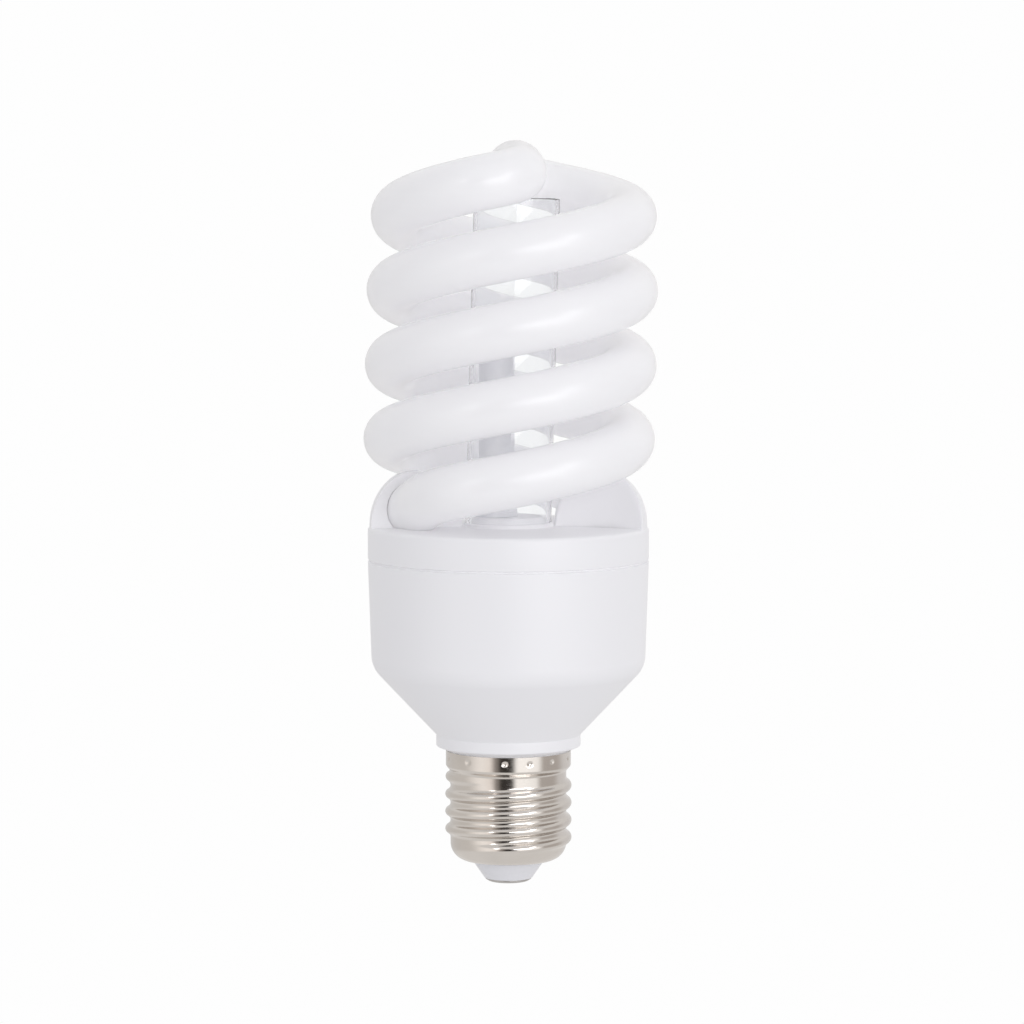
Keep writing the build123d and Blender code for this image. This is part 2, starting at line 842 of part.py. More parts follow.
def lead_places(turned_by):
    """Start, knee and pin place of the two leads at one end of the tube."""
    side = cos(radians(turned_by))
    x, y, z = coil_centre(coil_end_turn)
    heading = radians(coil_end_turn)
    slope = coil_pitch / (2 * pi * coil_end_r)
    back = (-cos(heading), -sin(heading), -slope)
    places = []
    for offset in (-lead_spacing, lead_spacing):
        start = (x + offset * sin(heading), y - offset * cos(heading), z)
        knee = tuple(start[k] + lead_reach * back[k] for k in range(3))
        places.append([(side * point[0], side * point[1], point[2]) for point in (start, knee)])
    return places


def filament_leads():
    """The four filament leads, from the tube's ends down to the wire pins."""
    pin_top_z = board_top_z + post_pin_height
    leads = []
    for turned_by in (0, 180):
        for start, knee in lead_places(turned_by):
            foot = (knee[0], knee[1], pin_top_z)
            leads.append(round_wire([start, knee, foot], lead_r))
    return leads


def wire_pins():
    """The four square pins on the board that the filament leads are wrapped on."""
    pins = []
    for turned_by in (0, 180):
        for _, knee in lead_places(turned_by):
            pin = Box(post_pin_side, post_pin_side, post_pin_height)
            pins.append(Pos(knee[0], knee[1], board_top_z + post_pin_height / 2) * pin)
    return pins


def write_parts():
    """Write one STEP file for each piece."""
    tube = spiral_tube()
    parts = {
        "centre_contact": centre_contact(),
        "cap_insulator": cap_insulator(),
        "cap_shell": cap_shell(),
        "ballast_housing": ballast_housing(),
        "tube_cover": tube_cover(),
        "spiral_tube": tube,
        "support_sleeve": support_sleeve(),
        "centre_post": centre_post(),
        "tube_cement_a": tube_cement(0, tube),
        "tube_cement_b": tube_cement(180, tube),
        "circuit_board": circuit_board(),
        "main_capacitor": main_capacitor(),
        "choke_core": choke_core(),
        "choke_winding": choke_winding(),
        "drive_toroid": drive_toroid(),
        "transistor_a": transistor(1),
        "transistor_b": transistor(-1),
        "resonant_capacitor": resonant_capacitor(),
        "film_capacitor": film_capacitor(),
        "filter_choke": filter_choke(),
        "rectifier_diodes": rectifier_diodes(),
        "start_thermistor": start_thermistor(),
        "fuse_resistor": fuse_resistor(),
        "live_wire": live_wire(),
        "neutral_wire": neutral_wire(),
        "filament_leads": filament_leads(),
        "wire_pins": wire_pins(),
    }
    os.makedirs("parts", exist_ok=True)
    for name, shape in parts.items():
        solids = shape if isinstance(shape, list) else shape.solids()
        flat = [solid for one in solids for solid in one.solids()]
        body = flat[0] if len(flat) == 1 else Compound(children=flat)
        export_step(body, f"parts/{name}.step")


write_parts()
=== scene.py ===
"""Looks of a spiral energy saving lamp with a screw cap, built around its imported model.

The lamp stands on its own axis, cap down: a nickel screw cap, a white moulded housing and cover with
two cowls, a white double-spiral tube and a clear sleeve in the middle of the spiral. Sizes are in
millimetres and angles in degrees. Sizes become metres where a mesh is written.
"""

from __future__ import annotations

import json
import logging
import math
from dataclasses import dataclass, field
from enum import Enum
from typing import Sequence

import bmesh
import bpy
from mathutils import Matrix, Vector

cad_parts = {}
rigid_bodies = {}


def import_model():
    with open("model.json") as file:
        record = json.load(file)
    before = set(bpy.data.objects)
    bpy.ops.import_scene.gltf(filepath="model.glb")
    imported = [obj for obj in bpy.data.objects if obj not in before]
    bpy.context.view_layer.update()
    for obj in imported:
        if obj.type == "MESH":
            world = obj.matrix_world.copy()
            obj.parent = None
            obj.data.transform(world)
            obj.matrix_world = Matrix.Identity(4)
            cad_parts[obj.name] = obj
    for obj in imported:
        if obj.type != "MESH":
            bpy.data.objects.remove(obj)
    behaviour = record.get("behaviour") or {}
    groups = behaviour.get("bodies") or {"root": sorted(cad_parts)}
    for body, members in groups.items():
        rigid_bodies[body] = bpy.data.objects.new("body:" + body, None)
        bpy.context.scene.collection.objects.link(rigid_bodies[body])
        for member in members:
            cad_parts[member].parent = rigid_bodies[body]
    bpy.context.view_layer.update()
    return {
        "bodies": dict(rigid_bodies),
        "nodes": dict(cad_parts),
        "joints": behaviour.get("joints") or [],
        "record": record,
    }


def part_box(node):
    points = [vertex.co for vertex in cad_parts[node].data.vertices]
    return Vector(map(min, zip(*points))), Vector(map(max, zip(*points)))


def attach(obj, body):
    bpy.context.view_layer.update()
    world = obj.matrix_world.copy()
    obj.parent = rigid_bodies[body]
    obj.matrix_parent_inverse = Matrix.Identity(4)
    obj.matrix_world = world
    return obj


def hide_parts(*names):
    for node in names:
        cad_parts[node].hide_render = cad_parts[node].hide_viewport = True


LOG = logging.getLogger("spiral_lamp")
MM = 0.001
AXIS_R = 0.02
IMAGE_SIDE = 1024
BODY = "root"

Point = tuple[float, float, float]
Corner = tuple[float, float, float]
Outline = list[tuple[float, float]]
Colour = tuple[float, float, float]
Material = bpy.types.Material
Piece = bpy.types.Object
Socket = bpy.types.NodeSocket


def smooth_step(t: float) -> float:
    """Ease from 0 to 1 as t goes from 0 to 1."""
    t = min(1.0, max(0.0, t))
    return t * t * (3.0 - 2.0 * t)


def soft_min(a: float, b: float, blend: float) -> float:
    """The smaller of two values, rounded over a blend distance where they are alike."""
    share = max(blend - abs(a - b), 0.0) / blend
    return min(a, b) - share * share * blend / 4.0


def rounded(corners: Sequence[Corner], steps: int = 8) -> Outline:
    """Round the corners of an open outline.

    Args:
        corners: Radius, height and corner radius of each point.
        steps: Segments in each rounded corner.

    Returns:
        The outline's points, with an arc at each corner that has a radius.
    """
    side_share = 0.49
    points: Outline = []
    for i, (r, z, bend) in enumerate(corners):
        if bend <= 0.0 or i in (0, len(corners) - 1):
            points.append((r, z))
            continue
        before = Vector((corners[i - 1][0] - r, corners[i - 1][1] - z))
        after = Vector((corners[i + 1][0] - r, corners[i + 1][1] - z))
        half = before.angle(after) / 2.0
        reach = min(bend / math.tan(half), side_share * before.length, side_share * after.length)
        radius = reach * math.tan(half)
        start = Vector((r, z)) + before.normalized() * reach
        end = Vector((r, z)) + after.normalized() * reach
        inward = (before.normalized() + after.normalized()).normalized()
        centre = Vector((r, z)) + inward * (radius / math.sin(half))
        first = math.atan2(start.y - centre.y, start.x - centre.x)
        last = math.atan2(end.y - centre.y, end.x - centre.x)
        swing = (last - first + math.pi) % (2.0 * math.pi) - math.pi
        for k in range(steps + 1):
            angle = first + swing * k / steps
            points.append((centre.x + radius * math.cos(angle), centre.y + radius * math.sin(angle)))
    return points


def place(name: str, data: bpy.types.ID) -> Piece:
    """Put a new object with its data into the scene and return it."""
    made = bpy.data.objects.new(name, data)
    bpy.context.scene.collection.objects.link(made)
    return made


class Crease(Enum):
    """How sharp an edge has to be before it is shaded as an edge, in degrees."""

    MOULDED = 32.0
    TURNED = 40.0
    NONE = 180.0


class MeshShop:
    """Writes meshes in metres from points in millimetres.

    Each piece gets a name and a crease, the angle from which its edges stay sharp.
    """

    DOUBLE = 1e-6
    EMPTY = 1e-7

    @staticmethod
    def piece(name: str, points: Sequence[Point], faces: Sequence[tuple[int, ...]], crease: Crease) -> Piece:
        """Make an object at the origin from corner points and the indices of each face's corners."""
        mesh = bpy.data.meshes.new(name)
        mesh.from_pydata([(x * MM, y * MM, z * MM) for x, y, z in points], [], faces)
        mesh.validate()
        MeshShop.weld(mesh)
        MeshShop.shade(mesh, crease)
        return place(name, mesh)

    @staticmethod
    def weld(mesh: bpy.types.Mesh) -> None:
        """Merge doubles, drop empty faces and turn the faces outwards."""
        work = bmesh.new()
        work.from_mesh(mesh)
        bmesh.ops.remove_doubles(work, verts=work.verts, dist=MeshShop.DOUBLE)
        bmesh.ops.dissolve_degenerate(work, edges=work.edges, dist=MeshShop.EMPTY)
        bmesh.ops.recalc_face_normals(work, faces=work.faces)
        work.to_mesh(mesh)
        work.free()

    @staticmethod
    def shade(mesh: bpy.types.Mesh, crease: Crease) -> None:
        """Shade a mesh smooth, with sharp edges from the crease angle up."""
        mesh.shade_smooth()
        if crease is not Crease.NONE:
            mesh.set_sharp_from_angle(angle=math.radians(crease.value))

    @staticmethod
    def applied(made: Piece) -> bpy.types.Mesh:
        """Return a plain mesh of an object, its modifiers applied."""
        bpy.context.view_layer.update()
        seen = made.evaluated_get(bpy.context.evaluated_depsgraph_get())
        return bpy.data.meshes.new_from_object(seen)

    @staticmethod
    def turned(name: str, outline: Outline, crease: Crease, around: int = 192) -> Piece:
        """Turn a closed outline about the axis.

        Args:
            outline: Radius and height of each point, in order.
            around: Segments round the axis.
        """
        points: list[Point] = []
        for r, z in outline:
            for k in range(around):
                angle = 2.0 * math.pi * k / around
                points.append((r * math.cos(angle), r * math.sin(angle), z))
        faces: list[tuple[int, ...]] = []
        rows = len(outline)
        for i in range(rows):
            low, high = i * around, (i + 1) % rows * around
            for k in range(around):
                n = (k + 1) % around
                faces.append((low + k, low + n, high + n, high + k))
        return MeshShop.piece(name, points, faces, crease)

    @staticmethod
    def skin(name: str, rings: Sequence[Sequence[Point]], crease: Crease, ends: bool) -> Piece:
        """Span a skin over a row of closed rings with as many points each.

        Args:
            rings: The rings of points, in order.
            ends: Whether the first and last rings are filled.
        """
        count = len(rings[0])
        points = [point for ring in rings for point in ring]
        faces: list[tuple[int, ...]] = []
        for low in range(0, len(points) - count, count):
            high = low + count
            for k in range(count):
                n = (k + 1) % count
                faces.append((low + k, low + n, high + n, high + k))
        if ends:
            faces.append(tuple(range(count)))
            faces.append(tuple(range(len(points) - count, len(points))))
        return MeshShop.piece(name, points, faces, crease)


class NodeBench:
    """A node tree, with short calls for the nodes that are used here."""

    def __init__(self, tree: bpy.types.NodeTree) -> None:
        """Work on a tree."""
        self.tree = tree

    def put(self, node: bpy.types.Node, name: str | int, value: Socket | Sequence[float] | float) -> None:
        """Link a socket to a node's input, or set the input to a value."""
        if isinstance(value, Socket):
            self.tree.links.new(value, node.inputs[name])
        else:
            node.inputs[name].default_value = value

    def add(self, kind: str, feeds: dict | None = None, **settings: str) -> bpy.types.Node:
        """Add a node.

        Args:
            kind: The node's type.
            feeds: What goes into its inputs, by name or index: a socket or a value each.
            settings: The node's own properties, which are set first.
        """
        node = self.tree.nodes.new(kind)
        for name, value in settings.items():
            setattr(node, name, value)
        for name, value in (feeds or {}).items():
            self.put(node, name, value)
        return node

    def maths(self, operation: str, *values: Socket | float) -> Socket:
        """Return the result of a maths operation on sockets or numbers."""
        return self.add("ShaderNodeMath", dict(enumerate(values)), operation=operation).outputs[0]

    def parts(self, vector: Socket) -> Sequence[Socket]:
        """Return a vector's X, Y and Z."""
        return self.add("ShaderNodeSeparateXYZ", {0: vector}).outputs

    def spread(self, value: Socket, low: float, high: float) -> Socket:
        """Map a value from 0..1 to low..high."""
        feeds = {"Value": value, "To Min": low, "To Max": high}
        return self.add("ShaderNodeMapRange", feeds).outputs["Result"]

    def ease(self, value: Socket, low: float, high: float) -> Socket:
        """Ease from 0 to 1 while a value goes from low to high."""
        feeds = {"Value": value, "From Min": low, "From Max": high}
        return self.add("ShaderNodeMapRange", feeds, interpolation_type="SMOOTHSTEP").outputs["Result"]

    def mix(self, share: Socket, first: Socket | Colour, second: Colour) -> Socket:
        """Mix two colours by the share of the second."""
        if isinstance(first, tuple):
            first = (*first, 1.0)
        feeds = {"Factor": share, "A": first, "B": (*second, 1.0)}
        return self.add("ShaderNodeMix", feeds, data_type="RGBA").outputs["Result"]


@dataclass(frozen=True)
class Grain:
    """A noise: its cells in a metre, its octaves of finer noise and the scale of each axis."""

    scale: float
    detail: float = 2.0
    stretch: Point = (1.0, 1.0, 1.0)


@dataclass(frozen=True)
class Relief:
    """A fine relief: its noise, how strongly it shades and its height in metres."""

    grain: Grain
    strength: float
    height: float


class Shader(NodeBench):
    """A material with a Principled shader and noise on Object coordinates."""

    def __init__(self, name: str) -> None:
        """Start a material."""
        self.material = bpy.data.materials.new(name)
        self.material.use_nodes = True
        super().__init__(self.material.node_tree)
        self.tree.nodes.clear()
        self.principled = self.add("ShaderNodeBsdfPrincipled")
        self.add("ShaderNodeOutputMaterial", {"Surface": self.principled.outputs["BSDF"]})
        self.place = self.add("ShaderNodeTexCoord").outputs["Object"]

    def feed(self, name: str, value: Socket | tuple[float, ...] | float) -> None:
        """Feed one of the Principled shader's inputs."""
        self.put(self.principled, name, value)

    def noise(self, grain: Grain) -> Socket:
        """Return a noise value."""
        mapping = self.add("ShaderNodeMapping", {"Vector": self.place, "Scale": grain.stretch})
        feeds = {"Vector": mapping.outputs["Vector"], "Scale": grain.scale, "Detail": grain.detail}
        return self.add("ShaderNodeTexNoise", feeds).outputs["Fac"]

    def bump(self, relief: Relief) -> None:
        """Raise the surface by a relief."""
        feeds = {"Strength": relief.strength, "Distance": relief.height, "Height": self.noise(relief.grain)}
        self.feed("Normal", self.add("ShaderNodeBump", feeds).outputs["Normal"])


@dataclass(frozen=True)
class Finish:
    """Two close tones mixed by a noise, an uneven roughness and a fine relief.

    The inputs are what else the Principled shader gets, by the names of its inputs.
    """

    name: str
    light: Colour
    dark: Colour
    tones: Grain
    smoothest: float
    roughest: float
    sheen: Grain
    inputs: dict[str, float | tuple[float, ...]]
    relief: Relief | None = None

    def build(self) -> Material:
        """Return the material."""
        shader = Shader(self.name)
        shader.feed("Base Color", shader.mix(shader.noise(self.tones), self.dark, self.light))
        shader.feed("Roughness", shader.spread(shader.noise(self.sheen), self.smoothest, self.roughest))
        for name, value in self.inputs.items():
            shader.feed(name, value)
        if self.relief:
            shader.bump(self.relief)
        return shader.material


def painted_glow(strength: float) -> dict[str, float | tuple[float, ...]]:
    """Return the inputs for a faint white emission: painted light that lifts the shaded hollows, standing in
    for light that is scattered inside.
    """
    return {"Emission Color": (1.0, 1.0, 1.0, 1.0), "Emission Strength": strength}


# White housing plastic with a fine satin grain and faint flow shades.
MOULDED_PLASTIC = Finish(
    name="moulded_white",
    light=(0.925, 0.924, 0.932),
    dark=(0.913, 0.912, 0.92),
    tones=Grain(45.0, 3.0),
    smoothest=0.34,
    roughest=0.42,
    sheen=Grain(300.0),
    # The emission is painted light, a faint glow that brightens the shaded parts of the plastic.
    inputs={"Specular IOR Level": 0.42, **painted_glow(0.03)},
    relief=Relief(Grain(9000.0), 0.25, 0.00001),
)
# Glossy glass over a white phosphor coat that is a little uneven.
COATED_GLASS = Finish(
    name="phosphor_glass",
    light=(0.957, 0.951, 0.962),
    dark=(0.947, 0.941, 0.952),
    tones=Grain(120.0, 4.0),
    smoothest=0.31,
    roughest=0.37,
    sheen=Grain(500.0),
    inputs={
        "Specular IOR Level": 0.35,
        "Coat Weight": 0.55,
        "Coat Roughness": 0.16,
        "Coat IOR": 1.5,
        "Subsurface Weight": 0.85,
        "Subsurface Radius": (1.0, 1.0, 1.0),
        "Subsurface Scale": 0.009,
        # The emission is painted light, a faint glow that brightens the shaded turns of the tube.
        **painted_glow(0.035),
    },
    relief=Relief(Grain(90.0, 1.0), 0.12, 0.0001),
)
# Bright nickel plate with fine marks that run round the cap.
CAP_MARKS = Grain(700.0, 3.0, (1.0, 1.0, 9.0))
NICKEL_PLATE = Finish(
    name="nickel_plate",
    light=(0.74, 0.705, 0.67),
    dark=(0.62, 0.59, 0.56),
    tones=Grain(160.0, 4.0),
    smoothest=0.08,
    roughest=0.21,
    sheen=CAP_MARKS,
    inputs={"Metallic": 1.0},
    relief=Relief(CAP_MARKS, 0.06, 0.00005),
)
# Clear plastic with a slight grey of its own.
CLEAR_PLASTIC = Finish(
    name="clear_plastic",
    light=(0.975, 0.98, 0.985),
    dark=(0.960375, 0.9653, 0.970225),
    tones=Grain(60.0),
    smoothest=0.02,
    roughest=0.04,
    sheen=Grain(200.0),
    inputs={"Transmission Weight": 1.0, "IOR": 1.46},
)


def plain_finish(
    name: str, tone: Colour, smoothest: float, metallic: float = 0.0, mottle: float = 0.06
) -> Finish:
    """Return a plain finish with a faint mottle, for the insulator and the parts inside.

    Args:
        name: The material's name.
        tone: Its colour.
        smoothest: Its lowest roughness.
        metallic: 1 for a metal.
        mottle: How much darker its spots are.
    """
    grain = Grain(900.0, 3.0)
    return Finish(
        name=name,
        light=tone,
        dark=tuple(c * (1.0 - mottle) for c in tone),
        tones=grain,
        smoothest=smoothest,
        roughest=smoothest + 0.1,
        sheen=grain,
        inputs={"Metallic": metallic},
        relief=Relief(grain, 0.15, 0.00002),
    )


def dress(piece: Piece, material: Material) -> None:
    """Give a piece one material and no other."""
    piece.data.materials.clear()
    piece.data.materials.append(material)


def stand_for(piece: Piece, node: str, finish: Material) -> None:
    """Let a piece ride with the lamp and take the place of a solid.

    Args:
        piece: The visual piece.
        node: The solid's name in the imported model.
        finish: Its material.
    """
    dress(piece, finish)
    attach(piece, BODY)
    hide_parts(node)
    LOG.info("%s stands for %s with %d faces", piece.name, node, len(piece.data.polygons))


@dataclass
class Levels:
    """Heights that the pieces share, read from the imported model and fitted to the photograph.

    The cover's step, plate and boss stand up to 1.3 mm higher in the photograph than in the solids,
    and the cap's rim and the housing's foot up to 0.5 mm.
    """

    solid_boss_height: float = 1.2
    solid_coil_rise: float = 12.5
    rim_lift: float = 0.2
    foot_lift: float = 0.5
    seam_lift: float = 0.64
    plate_lift: float = 1.3
    boss_lift: float = 1.0
    spigot_height: float = 1.2

    def __post_init__(self) -> None:
        """Read the heights from the boxes of the solids."""
        shell_low, shell_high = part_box("cap_shell")
        _, housing_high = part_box("ballast_housing")
        sleeve_low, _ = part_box("support_sleeve")
        solid_plate = sleeve_low[2] / MM - self.solid_boss_height
        self.cap_foot = shell_low[2] / MM
        self.cap_rim = shell_high[2] / MM + self.rim_lift
        self.housing_foot = shell_high[2] / MM + self.foot_lift
        self.seam = housing_high[2] / MM + self.seam_lift
        self.coil_front = solid_plate + self.solid_coil_rise
        self.plate = solid_plate + self.plate_lift
        self.boss = sleeve_low[2] / MM + self.boss_lift
        self.spigot = self.boss + self.spigot_height


@dataclass
class DischargeTube:
    """The glass tube: two strands wound as a right-handed double helix and joined at the top."""

    front: float
    tube_r: float = 5.65
    coil_r: float = 24.45
    top_r: float = 23.7
    end_r: float = 19.7
    pitch: float = 30.7
    bend_turn: float = 360.0 * 1.933
    end_turn: float = -86.0
    pull_in_from: float = -18.0
    pull_in_to: float = -72.0
    tightening: float = 300.0
    bend_r: float = 7.5
    bridge_rise: float = 4.2
    lean: float = 1.2
    tilt: float = 0.032
    turn_step: float = 2.0
    bridge_step: float = 0.8
    ring_points: int = 56

    def centre(self, turn: float) -> Point:
        """Return the centreline of a strand at a turn angle."""
        free = smooth_step((turn - self.pull_in_to) / (self.pull_in_from - self.pull_in_to))
        tight = smooth_step((turn - self.bend_turn + self.tightening) / self.tightening)
        r = self.end_r + (self.coil_r - self.end_r) * free - (self.coil_r - self.top_r) * tight
        angle = math.radians(turn)
        height = self.front + self.pitch * turn / 360.0
        return r * math.sin(angle), -r * math.cos(angle), height

    def bridge(self) -> list[Point]:
        """Return the centreline from the last turn round the bend and across to the axis."""
        x0, y0, z0 = self.centre(self.bend_turn)
        heading = math.radians(self.bend_turn)
        slope = self.pitch / (2.0 * math.pi * self.top_r)
        centre_x = x0 - self.bend_r * math.sin(heading)
        centre_y = y0 + self.bend_r * math.cos(heading)
        reach = math.hypot(centre_x, centre_y)
        run = math.sqrt(reach**2 - self.bend_r**2)
        to_axis = math.atan2(-centre_y, -centre_x) + math.asin(self.bend_r / reach)
        swing = (to_axis - heading) % (2.0 * math.pi)
        length = self.bend_r * swing + run
        count = round(length / self.bridge_step)
        points: list[Point] = []
        for i in range(1, count + 1):
            gone = length * i / count
            now = heading + min(gone / self.bend_r, swing)
            ahead = max(0.0, gone - self.bend_r * swing)
            x = centre_x + self.bend_r * math.sin(now) + ahead * math.cos(now)
            y = centre_y - self.bend_r * math.cos(now) + ahead * math.sin(now)
            t = gone / length
            climb = length * slope * t * (1.0 - t) ** 2 + self.bridge_rise * smooth_step(t)
            points.append((x, y, z0 + climb))
        return points

    def centreline(self) -> list[Point]:
        """Return the whole centreline, up one strand and down the other."""
        swing = self.bend_turn - self.end_turn
        count = round(swing / self.turn_step)
        up = [self.centre(self.end_turn + swing * i / count) for i in range(count + 1)] + self.bridge()
        down = [(-x, -y, z) for x, y, z in up[-2::-1]]
        return [self.settle(point) for point in up + down]

    def settle(self, point: Point) -> Point:
        """Let a point of the ideal coil lean to the right and lie lower towards the back."""
        x, y, z = point
        lean = math.tan(math.radians(self.lean))
        return x + lean * max(0.0, z - self.front), y, z - self.tilt * (y + self.coil_r)

    @staticmethod
    def sweep_tree() -> tuple[bpy.types.NodeTree, dict[str, str]]:
        """Build the node tree that sweeps a round section along a curve.

        Returns:
            The tree, and the identifier of each input by its name.
        """
        tree = bpy.data.node_groups.new("tube_sweep", "GeometryNodeTree")
        kinds = {"Geometry": "Geometry", "Tube radius": "Float", "Ring points": "Int", "Finish": "Material"}
        names: dict[str, str] = {}
        for name, kind in kinds.items():
            socket = tree.interface.new_socket(name, in_out="INPUT", socket_type=f"NodeSocket{kind}")
            names[name] = socket.identifier
        tree.interface.new_socket("Geometry", in_out="OUTPUT", socket_type="NodeSocketGeometry")
        bench = NodeBench(tree)
        given = bench.add("NodeGroupInput").outputs
        feeds = {"Resolution": given["Ring points"], "Radius": given["Tube radius"]}
        ring = bench.add("GeometryNodeCurvePrimitiveCircle", feeds).outputs["Curve"]
        feeds = {"Curve": given["Geometry"], "Profile Curve": ring, "Fill Caps": True}
        swept = bench.add("GeometryNodeCurveToMesh", feeds).outputs["Mesh"]
        smooth = bench.add("GeometryNodeSetShadeSmooth", {"Geometry": swept}).outputs["Geometry"]
        real = bench.add("GeometryNodeRealizeInstances", {"Geometry": smooth}).outputs["Geometry"]
        feeds = {"Geometry": real, "Material": given["Finish"]}
        painted = bench.add("GeometryNodeSetMaterial", feeds).outputs["Geometry"]
        bench.add("NodeGroupOutput", {"Geometry": painted})
        return tree, names

    def build(self, finish: Material) -> None:
        """Sweep the tube and make it a plain mesh."""
        line = self.centreline()
        curve = bpy.data.curves.new("tube_centreline", "CURVE")
        curve.dimensions = "3D"
        spline = curve.splines.new("POLY")
        spline.points.add(len(line) - 1)
        for knot, (x, y, z) in zip(spline.points, line):
            knot.co = (x * MM, y * MM, z * MM, 1.0)
        holder = place("tube_centreline", curve)
        tree, names = self.sweep_tree()
        modifier = holder.modifiers.new("sweep", "NODES")
        modifier.node_group = tree
        modifier[names["Tube radius"]] = self.tube_r * MM
        modifier[names["Ring points"]] = self.ring_points
        modifier[names["Finish"]] = finish
        mesh = MeshShop.applied(holder)
        mesh.name = "glass_spiral"
        bpy.data.objects.remove(holder)
        bpy.data.curves.remove(curve)
        piece = place("glass_spiral", mesh)
        mesh.set_sharp_from_angle(angle=math.radians(Crease.TURNED.value))
        stand_for(piece, "spiral_tube", finish)


@dataclass
class ScrewCap:
    """The E27 cap: rolled shell, insulator and centre contact."""

    foot: float
    top: float
    wall: float = 0.3
    mouth_r: float = 7.65
    mouth_lip: float = 0.4
    shoulder_r: float = 3.6
    root_r: float = 12.05
    crest_r: float = 13.15
    arc_r: float = 1.025
    pitch: float = 3.63
    turns: float = 4.1
    start_angle: float = -140.0
    start_rise: float = -0.31
    run_in: float = 0.22
    run_in_lead: float = 0.02
    run_out: float = 0.25
    run_margin: float = 0.2
    skirt_r: float = 13.0
    skirt_height: float = 4.5
    skirt_flare: float = 1.5
    dimples: tuple[float, ...] = (-161, -130, -93, -70, -46, -19, 10, 41, 77, 101, 125, 160)
    dimple_r: float = 0.7
    dimple_depth: float = 0.3
    dimple_drop: float = 1.4
    around: int = 264
    shoulder_rows: int = 16
    thread_rows: int = 96
    skirt_rows: int = 28
    stem_r: float = 0.9
    insulator_foot_r: float = 4.95
    insulator_top_r: float = 7.55
    insulator_gap: float = 0.1
    flange_inner_r: float = 8.5
    flange_r: float = 9.6
    flange_rise: float = 0.9
    contact_foot_r: float = 2.4
    contact_dome_r: float = 4.1
    contact_dome_rise: float = 0.28
    contact_r: float = 4.8
    contact_edge_rise: float = 0.72
    contact_height: float = 0.9

    def thread(self, angle: float, z: float) -> float:
        """Return how far the rolled thread stands out of its root.

        Args:
            angle: Angle about the axis in radians.
            z: Height in millimetres.
        """
        start = math.radians(self.start_angle)
        share = ((angle - start) % (2.0 * math.pi)) / (2.0 * math.pi)
        first = self.foot + self.shoulder_r + self.start_rise
        ridge = round((z - first) / self.pitch - share)
        along = ridge + share
        if along < -self.run_margin or along > self.turns + self.run_margin:
            return 0.0
        off = abs(z - first - along * self.pitch)
        crest = self.crest_r - self.arc_r
        hollow = self.root_r + self.arc_r
        half = math.sqrt((2.0 * self.arc_r) ** 2 - (hollow - crest) ** 2)
        if off < half / 2.0:
            r = crest + math.sqrt(max(0.0, self.arc_r**2 - off**2))
        elif off < half:
            r = hollow - math.sqrt(max(0.0, self.arc_r**2 - (half - off) ** 2))
        else:
            r = self.root_r
        fade_in = smooth_step((along + self.run_in_lead) / self.run_in)
        fade_out = smooth_step((self.turns - along) / self.run_out)
        return (r - self.root_r) * fade_in * fade_out

    def dimple(self, angle: float, z: float) -> float:
        """Return how deep the crimp marks press the skirt in, at an angle in radians and a height."""
        up = z - (self.top - self.dimple_drop)
        if abs(up) > self.dimple_r:
            return 0.0
        turns = [(angle - math.radians(mark) + math.pi) % (2.0 * math.pi) - math.pi for mark in self.dimples]
        across = min(abs(turn) for turn in turns) * self.skirt_r
        share = math.hypot(across, up) / self.dimple_r
        return self.dimple_depth * (1.0 - share * share) ** 2 if share < 1.0 else 0.0

    def shell_rows(self) -> Outline:
        """Return radius and height of the plain form, row by row from the mouth up."""
        rows: Outline = [(self.mouth_r, self.foot), (self.mouth_r + self.mouth_lip, self.foot)]
        centre_r = self.root_r - self.shoulder_r
        low = self.foot + self.shoulder_r
        skirt = self.top - self.skirt_height
        for k in range(self.shoulder_rows + 1):
            angle = math.radians(-90.0 + 90.0 * k / self.shoulder_rows)
            r = centre_r + self.shoulder_r * math.cos(angle)
            rows.append((r, low + self.shoulder_r * math.sin(angle)))
        for k in range(1, self.thread_rows + 1):
            rows.append((self.root_r, low + (skirt - low) * k / self.thread_rows))
        for k in range(1, self.skirt_rows + 1):
            up = self.skirt_height * k / self.skirt_rows
            flare = (self.skirt_r - self.root_r) * smooth_step(up / self.skirt_flare)
            rows.append((self.root_r + flare, skirt + up))
        return rows

    def build_shell(self, finish: Material) -> None:
        """Build the shell with its rolled thread and crimp marks."""
        rings: list[list[Point]] = []
        for r, z in self.shell_rows():
            ring: list[Point] = []
            for k in range(self.around):
                angle = 2.0 * math.pi * k / self.around
                local = r + self.thread(angle, z) - self.dimple(angle, z)
                ring.append((local * math.cos(angle), local * math.sin(angle), z))
            rings.append(ring)
        shell = MeshShop.skin("cap_screw_shell", rings, Crease.NONE, ends=False)
        self.thicken(shell)
        stand_for(shell, "cap_shell", finish)

    def thicken(self, shell: Piece) -> None:
        """Give the shell its sheet thickness, inwards."""
        modifier = shell.modifiers.new("sheet", "SOLIDIFY")
        modifier.thickness = self.wall * MM
        modifier.offset = -1.0
        mesh = MeshShop.applied(shell)
        shell.modifiers.clear()
        shell.data = mesh
        MeshShop.shade(mesh, Crease.TURNED)

    def build_insulator(self, finish: Material) -> None:
        """Build the white cone with its soft edges."""
        low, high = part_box("cap_insulator")
        foot, top = low[2] / MM, high[2] / MM
        outline = rounded([
            (self.stem_r, foot, 0.0),
            (self.insulator_foot_r, foot, 0.25),
            (self.insulator_top_r, self.foot - self.insulator_gap, 0.3),
            (self.insulator_top_r, self.foot + self.wall, 0.0),
            (self.flange_inner_r, self.foot + self.wall, 0.0),
            (self.flange_r, self.foot + self.flange_rise, 0.2),
            (self.flange_r, top, 0.2),
            (self.stem_r, top, 0.0),
        ])
        piece = MeshShop.turned("cap_glass_insulator", outline, Crease.TURNED)
        stand_for(piece, "cap_insulator", finish)

